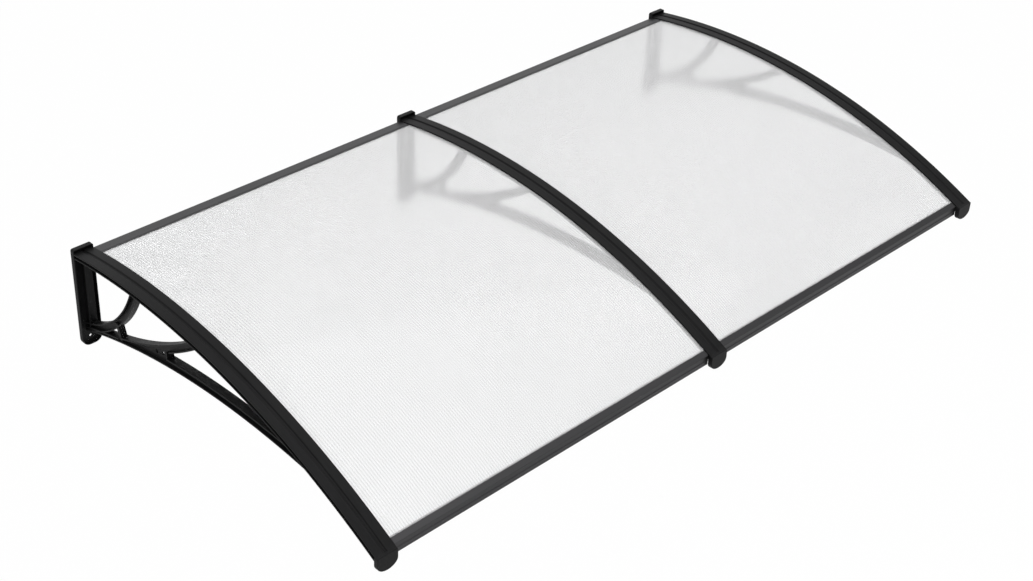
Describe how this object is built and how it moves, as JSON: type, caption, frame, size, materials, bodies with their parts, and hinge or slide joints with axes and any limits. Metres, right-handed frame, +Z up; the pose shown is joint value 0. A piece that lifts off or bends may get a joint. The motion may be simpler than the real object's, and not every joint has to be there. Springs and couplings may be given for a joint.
{
  "type": "door awning",
  "caption": "Curved canopy over a door: moulded wall brackets carry translucent twin-wall sheets between metal edge bars.",
  "frame": {"origin": "centre of the middle bracket's wall plate, on its back face against the wall", "axes": "+X along the wall to the right as seen from the front, +Y into the wall, +Z up"},
  "size_m": [2.003, 1.028, 0.2605],
  "materials": {
    "black_moulding": "satin black moulded plastic",
    "sheet": "translucent milky twin-wall plastic sheet",
    "bar": "dark grey anodised bar",
    "screw": "plain steel"
  },
  "bodies": {
    "root": {"bracket_left": "black_moulding", "bracket_middle": "black_moulding", "bracket_right": "black_moulding", "roof_sheet_left": "sheet", "roof_sheet_right": "sheet", "rear_bar_left": "bar", "rear_bar_right": "bar", "front_bar_left": "bar", "front_bar_right": "bar", "screw_rear_left_left": "screw", "screw_rear_left_right": "screw", "screw_front_left_left": "screw", "screw_front_left_right": "screw", "screw_rear_right_left": "screw", "screw_rear_right_right": "screw", "screw_front_right_left": "screw", "screw_front_right_right": "screw"}
  },
  "joints": []
}
